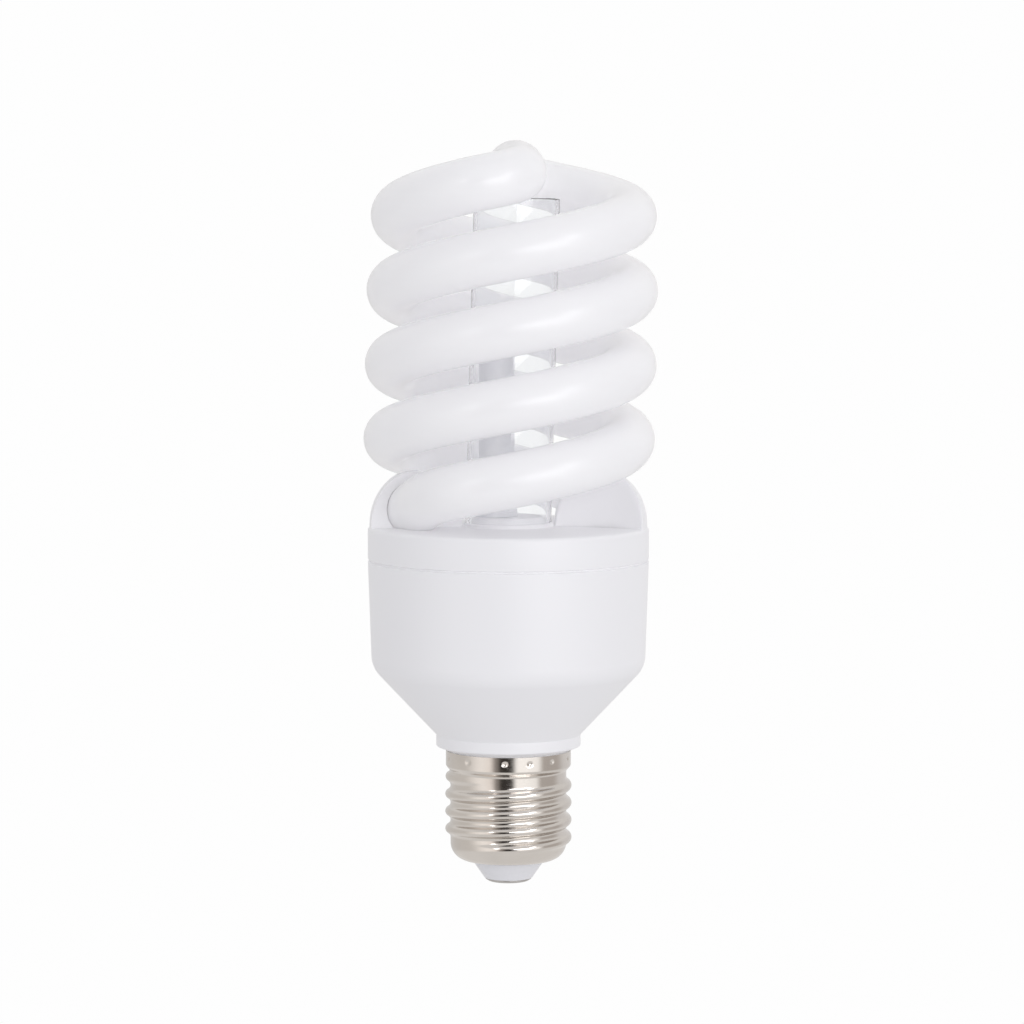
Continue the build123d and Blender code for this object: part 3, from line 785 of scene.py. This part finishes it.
    def build_contact(self, finish: Material) -> None:
        """Build the domed centre contact and its stem."""
        low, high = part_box("centre_contact")
        foot, top = low[2] / MM, high[2] / MM
        outline = rounded([
            (AXIS_R, foot, 0.0),
            (self.contact_foot_r, foot, 0.8),
            (self.contact_dome_r, foot + self.contact_dome_rise, 1.2),
            (self.contact_r, foot + self.contact_edge_rise, 0.12),
            (self.contact_r, foot + self.contact_height, 0.08),
            (self.stem_r, foot + self.contact_height, 0.0),
            (self.stem_r, top, 0.2),
            (AXIS_R, top, 0.0),
        ])
        piece = MeshShop.turned("cap_centre_contact", outline, Crease.TURNED, around=96)
        stand_for(piece, "centre_contact", finish)


@dataclass
class Housing:
    """The ballast housing: neck, bevel, collar, cone, rounded corner and drafted wall."""

    foot: float
    seam: float
    collar_foot_r: float = 13.2
    collar_r: float = 15.0
    bevel: float = 0.7
    collar: float = 2.45
    cone_step: float = 0.1
    cone_step_rise: float = 0.12
    cone_angle: float = 43.3
    foot_r: float = 28.35
    rim_r: float = 29.1
    corner_r: float = 6.0
    wall: float = 1.5
    wall_height: float = 22.2
    neck_r: float = 12.65
    neck_wall: float = 1.35
    neck_length: float = 2.75
    seam_edge: float = 0.3
    seam_depth: float = 0.55

    def outline(self) -> Outline:
        """Return the closed section of the housing."""
        neck_bore = self.neck_r - self.neck_wall
        collar_z = self.foot + self.bevel
        cone_z = collar_z + self.collar
        corner_z = self.seam - self.wall_height
        shift = self.wall / math.cos(math.radians(self.cone_angle))
        slope = math.tan(math.radians(self.cone_angle))
        bore_z = cone_z + (neck_bore - self.collar_r - self.cone_step + shift) / slope
        inner_foot = self.foot_r - self.wall
        inner_z = bore_z + (inner_foot - neck_bore) / slope
        return rounded([
            (neck_bore, self.foot - self.neck_length, 0.0),
            (self.neck_r, self.foot - self.neck_length, 0.0),
            (self.neck_r, self.foot, 0.0),
            (self.collar_foot_r, self.foot, 0.12),
            (self.collar_r, collar_z, 0.35),
            (self.collar_r, cone_z - self.cone_step_rise, 0.1),
            (self.collar_r + self.cone_step, cone_z, 0.12),
            (self.foot_r, corner_z, self.corner_r),
            (self.rim_r, self.seam - self.seam_edge, 0.12),
            (self.rim_r - self.seam_depth, self.seam - self.seam_edge / 3.0, 0.05),
            (self.rim_r - self.seam_depth, self.seam, 0.0),
            (self.rim_r - self.wall, self.seam, 0.1),
            (inner_foot, inner_z, self.corner_r - self.wall),
            (neck_bore, bore_z, 0.5),
        ], steps=12)

    def build(self, finish: Material) -> None:
        """Build the housing."""
        piece = MeshShop.turned("housing_moulding", self.outline(), Crease.MOULDED, around=256)
        stand_for(piece, "ballast_housing", finish)


@dataclass
class Cover:
    """The tube cover: band, plate, stepped boss and the two cowls over the tube's ends."""

    levels: Levels
    tube: DischargeTube
    rim_r: float = 29.1
    edge_r: float = 0.9
    seam_edge: float = 0.3
    seam_depth: float = 0.55
    plate_wall: float = 1.8
    band_wall_r: float = 26.0
    inner_rim_r: float = 27.3
    inner_rim_depth: float = 5.0
    boss_r: float = 9.3
    spigot_foot_r: float = 7.9
    spigot_top_r: float = 7.0
    cowl_outer_r: float = 28.75
    cowl_inner_r: float = 9.7
    cowl_height: float = 11.65
    eaves: float = 0.3
    face_inner_angle: float = -1.0
    face_outer_angle: float = -17.5
    face_slope: float = 5.0
    face_fillet: float = 0.5
    face_wall: float = 1.3
    mouth_angle: float = 11.0
    crown_blend: float = 2.6
    tube_gap: float = 0.15
    sink: float = 0.6
    columns: int = 72
    crowding: float = 1.4
    profile_points: int = 40

    def build_plate(self, finish: Material) -> None:
        """Build band, plate and boss as one turned piece."""
        seam, plate, boss, spigot = self.levels.seam, self.levels.plate, self.levels.boss, self.levels.spigot
        under = plate - self.plate_wall
        outline = rounded([
            (AXIS_R, under, 0.0),
            (self.band_wall_r, under, 0.3),
            (self.band_wall_r, seam - self.inner_rim_depth, 0.1),
            (self.inner_rim_r, seam - self.inner_rim_depth, 0.1),
            (self.inner_rim_r, seam, 0.0),
            (self.rim_r - self.seam_depth, seam, 0.0),
            (self.rim_r - self.seam_depth, seam + self.seam_edge / 3.0, 0.05),
            (self.rim_r, seam + self.seam_edge, 0.12),
            (self.rim_r, plate, self.edge_r),
            (self.boss_r, plate, 0.35),
            (self.boss_r, boss, 0.3),
            (self.spigot_foot_r, boss, 0.15),
            (self.spigot_top_r, spigot, 0.4),
            (AXIS_R, spigot, 0.0),
        ], steps=6)
        piece = MeshShop.turned("cover_plate", outline, Crease.MOULDED, around=256)
        stand_for(piece, "tube_cover", finish)

    def arch(self) -> Outline:
        """Return a cowl's outside in a radial section, from its inner foot over to its outer foot."""
        middle = (self.cowl_inner_r + self.cowl_outer_r) / 2.0
        half = (self.cowl_outer_r - self.cowl_inner_r) / 2.0
        rise = self.cowl_height - self.eaves
        points: Outline = [(self.cowl_inner_r, -self.sink)]
        for k in range(self.profile_points + 1):
            angle = math.pi * (1.0 - k / self.profile_points)
            points.append((middle + half * math.cos(angle), self.eaves + rise * math.sin(angle)))
        points.append((self.cowl_outer_r, -self.sink))
        return points

    def bore(self, turned_by: float) -> Outline:
        """Return the round outline of the bore for the tube, open below the plate.

        Args:
            turned_by: The cowl's angle about the axis.
        """
        x, y, z = self.tube.centre(self.mouth_angle - 90.0)
        turned = math.radians(turned_by + 180.0)
        x, y, z = self.tube.settle((
            x * math.cos(turned) - y * math.sin(turned),
            x * math.sin(turned) + y * math.cos(turned),
            z,
        ))
        middle_r, middle_z = math.hypot(x, y), z - self.levels.plate
        r = self.tube.tube_r + self.tube_gap
        below = math.asin(min(1.0, (middle_z + self.sink) / r))
        count = self.profile_points + 2
        points: Outline = []
        for k in range(count + 1):
            angle = math.pi + below - (math.pi + 2.0 * below) * k / count
            points.append((middle_r + r * math.cos(angle), middle_z + r * math.sin(angle)))
        return points

    def face_angle(self, r: float) -> float:
        """Return the angle at which the closed end stands on the plate at a radius."""
        share = (r - self.cowl_inner_r) / (self.cowl_outer_r - self.cowl_inner_r)
        return self.face_inner_angle + (self.face_outer_angle - self.face_inner_angle) * share

    def cowl_section(self, share: float, bore: bool, turned_by: float) -> list[Point]:
        """Return one section of a cowl.

        Args:
            share: How far the section is from the closed end, 1 at the mouth.
            bore: Whether it is the inside, which fits round the tube.
            turned_by: Angle about the axis.
        """
        ring: list[Point] = []
        for r, z in self.bore(turned_by) if bore else self.arch():
            first = self.face_angle(r)
            gone = math.radians(self.mouth_angle - first) * r * share - (self.face_wall if bore else 0.0)
            gone = max(gone, 0.0)
            rise = self.face_slope * gone * gone / (gone + self.face_fillet)
            height = soft_min(z, rise, self.crown_blend) if z > 0.0 else z
            out = math.radians(first + (self.mouth_angle - first) * share + turned_by)
            ring.append((r * math.cos(out), r * math.sin(out), self.levels.plate + height))
        return ring

    def build_cowl(self, name: str, turned_by: float, finish: Material) -> None:
        """Build one turned cowl, closed at its steep end face and bored for the tube at its mouth."""
        rings: list[list[Point]] = []
        for i in range(self.columns + 1):
            share = (i / self.columns) ** self.crowding
            outside = self.cowl_section(share, False, turned_by)
            rings.append(outside + self.cowl_section(share, True, turned_by)[::-1])
        piece = MeshShop.skin(name, rings, Crease.MOULDED, ends=True)
        stand_for(piece, "tube_cover", finish)


@dataclass
class Middle:
    """The clear sleeve on the boss and the translucent post inside it."""

    boss: float
    spigot: float
    sleeve_r: float = 8.9
    wall: float = 0.8
    lean: float = 1.5
    post_r: float = 3.7
    post_foot_r: float = 4.4
    post_flare: float = 5.0
    post_offset: float = -2.4

    def build_sleeve(self, finish: Material) -> None:
        """Build the leaning sleeve, its ends cut level. It holds back no light."""
        _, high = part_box("support_sleeve")
        top = high[2] / MM
        inner = self.sleeve_r - self.wall
        outline = rounded([
            (inner, self.boss, 0.0),
            (self.sleeve_r, self.boss, 0.0),
            (self.sleeve_r, top, 0.3),
            (inner, top, 0.3),
        ])
        piece = MeshShop.turned("clear_sleeve", outline, Crease.TURNED, around=128)
        shift = math.tan(math.radians(self.lean))
        for vertex in piece.data.vertices:
            vertex.co.x += shift * (vertex.co.z - self.boss * MM)
        piece.visible_shadow = False
        piece.visible_diffuse = False
        stand_for(piece, "support_sleeve", finish)

    def build_post(self, finish: Material) -> None:
        """Build the post with its flared foot."""
        _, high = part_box("centre_post")
        top = high[2] / MM
        outline = rounded([
            (AXIS_R, self.spigot, 0.0),
            (self.post_foot_r, self.spigot, 0.2),
            (self.post_r, self.spigot + self.post_flare, 3.0),
            (self.post_r, top, 0.5),
            (AXIS_R, top, 0.0),
        ])
        piece = MeshShop.turned("frosted_post", outline, Crease.TURNED, around=96)
        for vertex in piece.data.vertices:
            vertex.co.x += self.post_offset * MM
        stand_for(piece, "centre_post", finish)


@dataclass
class Ballast:
    """The parts inside the housing, which keep their solids and get their own finishes."""

    finishes: dict[str, Finish] = field(default_factory=lambda: {
        "cement": plain_finish("set_cement", (0.78, 0.77, 0.72), 0.8),
        "board": plain_finish("phenolic_board", (0.55, 0.42, 0.2), 0.55),
        "capacitor_sleeve": plain_finish("shrunk_sleeve", (0.03, 0.035, 0.07), 0.3),
        "ferrite": plain_finish("sintered_ferrite", (0.05, 0.05, 0.055), 0.7),
        "winding_tape": plain_finish("winding_tape", (0.6, 0.42, 0.06), 0.35),
        "moulded_black": plain_finish("moulded_package", (0.02, 0.02, 0.02), 0.45),
        "film_brown": plain_finish("dipped_coat", (0.28, 0.07, 0.03), 0.3),
        "thermistor_blue": plain_finish("coated_disc", (0.03, 0.07, 0.25), 0.4),
        "copper": plain_finish("tinned_copper", (0.8, 0.62, 0.5), 0.3, metallic=1.0),
    })

    def dress(self, frame: dict) -> None:
        """Give each solid inside the finish of its slot."""
        built = {slot: finish.build() for slot, finish in self.finishes.items()}
        for row in frame["record"]["subparts"]:
            material = built.get(row["material_slot"])
            if material is None:
                continue
            for slot in frame["nodes"][row["node"]].material_slots:
                slot.material = material
            LOG.info("%s keeps its solid in %s", row["node"], material.name)


@dataclass(frozen=True)
class SoftBox:
    """A rectangular light that faces the lamp.

    Its azimuth is measured from the camera's side, positive to the right, and its power is in watts.
    """

    name: str
    azimuth: float
    elevation: float
    width: float
    height: float
    power: float
    distance: float = 900.0
    tint: Colour = (0.985, 0.98, 1.0)

    def build(self, aim: Vector) -> None:
        """Hang the light so that it faces a point in metres."""
        data = bpy.data.lights.new(self.name, "AREA")
        data.shape = "RECTANGLE"
        data.size = self.width * MM
        data.size_y = self.height * MM
        data.energy = self.power
        data.color = self.tint
        light = place(self.name, data)
        side, up = math.radians(self.azimuth), math.radians(self.elevation)
        away = Vector((math.sin(side) * math.cos(up), -math.cos(side) * math.cos(up), math.sin(up)))
        light.location = aim + away * self.distance * MM
        light.rotation_euler = away.to_track_quat("Z", "Y").to_euler()


@dataclass
class Studio:
    """Camera, lights, floor and backdrop.

    The room's strips give an azimuth and the colour that a glossy ray meets there. They stand as in a
    photographer's tent: the dark gap where the camera looks in, a bright strip to the right of it and
    greyer cloth at the sides.
    """

    distance: float = 900.0
    elevation: float = 4.9
    target_z: float = 77.3
    target_x: float = 0.75
    pixels_per_mm: float = 4.83
    sensor: float = 36.0
    sight: float = 20.0
    floor_reach: float = 3000.0
    white: float = 0.99
    front_fill: Colour = (0.6, 0.598, 0.622)
    back_fill: Colour = (1.5, 1.5, 1.52)
    back_from: float = 0.1
    back_to: float = 0.9
    floor_fill: Colour = (0.645, 0.643, 0.665)
    bounces: int = 16
    gloss_above: Colour = (0.82, 0.80, 0.78)
    strip_height: float = 0.38
    strip_blend: float = 0.12
    strips: tuple[tuple[float, Colour], ...] = (
        (-180.0, (0.7, 0.69, 0.68)),
        (-90.0, (0.72, 0.69, 0.66)),
        (-50.0, (1.15, 1.1, 1.06)),
        (-36.0, (1.1, 1.03, 0.98)),
        (-22.0, (0.3, 0.27, 0.25)),
        (-13.0, (0.035, 0.03, 0.026)),
        (5.0, (0.035, 0.03, 0.026)),
        (18.0, (1.3, 1.28, 1.26)),
        (54.0, (1.25, 1.23, 1.21)),
        (70.0, (0.55, 0.51, 0.48)),
        (98.0, (0.55, 0.51, 0.48)),
        (125.0, (0.78, 0.76, 0.75)),
    )
    boxes: tuple[SoftBox, ...] = (
        SoftBox("key_box", azimuth=22.0, elevation=3.0, width=700.0, height=420.0, power=2.1),
        SoftBox("right_box", azimuth=46.0, elevation=24.0, width=160.0, height=300.0, power=0.5),
        SoftBox("left_box", azimuth=-34.0, elevation=20.0, width=120.0, height=260.0, power=0.3),
    )

    def camera(self) -> None:
        """Place the camera at the photograph's angle and distance."""
        data = bpy.data.cameras.new("camera")
        data.sensor_width = self.sensor
        data.sensor_height = self.sensor
        data.sensor_fit = "HORIZONTAL"
        data.lens = self.sensor * self.distance * self.pixels_per_mm / IMAGE_SIDE
        data.clip_end = self.sight
        camera = place("camera", data)
        angle = math.radians(self.elevation)
        camera.location = (
            self.target_x * MM,
            -self.distance * math.cos(angle) * MM,
            (self.target_z + self.distance * math.sin(angle)) * MM,
        )
        camera.rotation_euler = (math.radians(90.0 - self.elevation), 0.0, 0.0)
        bpy.context.scene.camera = camera

    def gloss_room(self) -> bpy.types.NodeTree:
        """Return a node group that gives the colour a glossy ray meets in a direction."""
        tree = bpy.data.node_groups.new("gloss_room", "ShaderNodeTree")
        tree.interface.new_socket("Direction", in_out="INPUT", socket_type="NodeSocketVector")
        tree.interface.new_socket("Colour", in_out="OUTPUT", socket_type="NodeSocketColor")
        bench = NodeBench(tree)
        parts = bench.parts(bench.add("NodeGroupInput").outputs[0])
        azimuth = bench.maths("ARCTAN2", parts["X"], bench.maths("MULTIPLY", parts["Y"], -1.0))
        round_share = bench.maths("MULTIPLY_ADD", azimuth, 0.5 / math.pi, 0.5)
        ramp = bench.add("ShaderNodeValToRGB", {0: round_share})
        ramp.color_ramp.interpolation = "EASE"
        stops = ramp.color_ramp.elements
        for i, (angle, colour) in enumerate(self.strips):
            stop = stops[0] if i == 0 else stops.new(0.5 + angle / 360.0)
            stop.position = 0.5 + angle / 360.0
            stop.color = (*colour, 1.0)
        stops.remove(stops[len(stops) - 1])
        height = bench.maths("ABSOLUTE", parts["Z"])
        above = bench.ease(height, self.strip_height - self.strip_blend, self.strip_height + self.strip_blend)
        colour = bench.mix(above, ramp.outputs["Color"], self.gloss_above)
        bench.add("NodeGroupOutput", {0: colour})
        return tree

    def surround(self, tree: bpy.types.NodeTree, kind: str, direction: Socket) -> None:
        """Give off what each kind of ray meets: white to the eye, strips to gloss, a fill to the rest.

        The world's fill grows brighter towards the backdrop, and the floor's is even.

        Args:
            tree: The world's or the floor's tree.
            kind: The shader node that gives off light.
            direction: The ray's direction.
        """
        bench = NodeBench(tree)
        path = bench.add("ShaderNodeLightPath").outputs
        eye = bench.maths("MAXIMUM", path["Is Camera Ray"], path["Is Transmission Ray"])
        room = bench.add("ShaderNodeGroup")
        room.node_tree = bpy.data.node_groups.get("gloss_room") or self.gloss_room()
        bench.put(room, 0, direction)
        if kind == "ShaderNodeEmission":
            fill = (*self.floor_fill, 1.0)
            out = "ShaderNodeOutputMaterial"
        else:
            away = bench.ease(bench.parts(direction)["Y"], self.back_from, self.back_to)
            fill = bench.mix(away, self.front_fill, self.back_fill)
            out = "ShaderNodeOutputWorld"
        white = (self.white, self.white, self.white, 1.0)
        fill_glow, gloss_glow, eye_glow = (
            bench.add(kind, {"Color": colour, "Strength": 1.0}).outputs[0]
            for colour in (fill, room.outputs[0], white)
        )
        unseen = bench.add("ShaderNodeMixShader", {0: path["Is Glossy Ray"], 1: fill_glow, 2: gloss_glow})
        shown = bench.add("ShaderNodeMixShader", {0: eye, 1: unseen.outputs[0], 2: eye_glow})
        bench.add(out, {"Surface": shown.outputs[0]})

    def floor_finish(self) -> Material:
        """Return the floor's material, plain white to the camera."""
        material = bpy.data.materials.new("pale_floor")
        material.use_nodes = True
        tree = material.node_tree
        tree.nodes.clear()
        bench = NodeBench(tree)
        incoming = bench.add("ShaderNodeNewGeometry").outputs["Incoming"]
        along = bench.add("ShaderNodeVectorMath", {0: incoming}, operation="SCALE")
        bench.put(along, "Scale", -1.0)
        self.surround(tree, "ShaderNodeEmission", along.outputs[0])
        return material

    def world(self) -> bpy.types.World:
        """Return the world that stands round the lamp."""
        world = bpy.data.worlds.new("studio")
        world.use_nodes = True
        tree = world.node_tree
        tree.nodes.clear()
        direction = tree.nodes.new("ShaderNodeTexCoord").outputs["Generated"]
        self.surround(tree, "ShaderNodeBackground", direction)
        return world

    def build(self) -> None:
        """Build floor, backdrop, lights, world and camera."""
        wide = self.floor_reach
        corners = [(-wide, -wide, 0.0), (wide, -wide, 0.0), (wide, wide, 0.0), (-wide, wide, 0.0)]
        plane = MeshShop.piece("floor", corners, [(0, 1, 2, 3)], Crease.NONE)
        dress(plane, self.floor_finish())
        bpy.context.scene.world = self.world()
        cycles = bpy.context.scene.cycles
        cycles.max_bounces = 2 * self.bounces
        cycles.diffuse_bounces = self.bounces
        for box in self.boxes:
            box.build(Vector((0.0, 0.0, self.target_z * MM)))
        self.camera()


def main() -> None:
    """Build the lamp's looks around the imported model."""
    logging.basicConfig(level=logging.INFO, format="%(name)s: %(message)s")
    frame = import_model()
    bpy.context.scene.view_settings.view_transform = "Standard"
    levels = Levels()

    plastic = MOULDED_PLASTIC.build()
    insulator = plain_finish("white_insulator", (0.87, 0.87, 0.89), 0.25, mottle=0.03)
    contact = plain_finish("contact_plate", (0.5, 0.49, 0.48), 0.3, metallic=1.0, mottle=0.1)
    post = plain_finish("frosted_post", (0.86, 0.865, 0.88), 0.3)

    tube = DischargeTube(levels.coil_front)
    tube.build(COATED_GLASS.build())
    cap = ScrewCap(levels.cap_foot, levels.cap_rim)
    cap.build_shell(NICKEL_PLATE.build())
    cap.build_insulator(insulator.build())
    cap.build_contact(contact.build())
    Housing(levels.housing_foot, levels.seam).build(plastic)
    cover = Cover(levels, tube)
    cover.build_plate(plastic)
    cover.build_cowl("cowl_right", 0.0, plastic)
    cover.build_cowl("cowl_left", 180.0, plastic)
    middle = Middle(levels.boss, levels.spigot)
    middle.build_sleeve(CLEAR_PLASTIC.build())
    middle.build_post(post.build())
    Ballast().dress(frame)
    Studio().build()


if __name__ == "__main__":
    main()
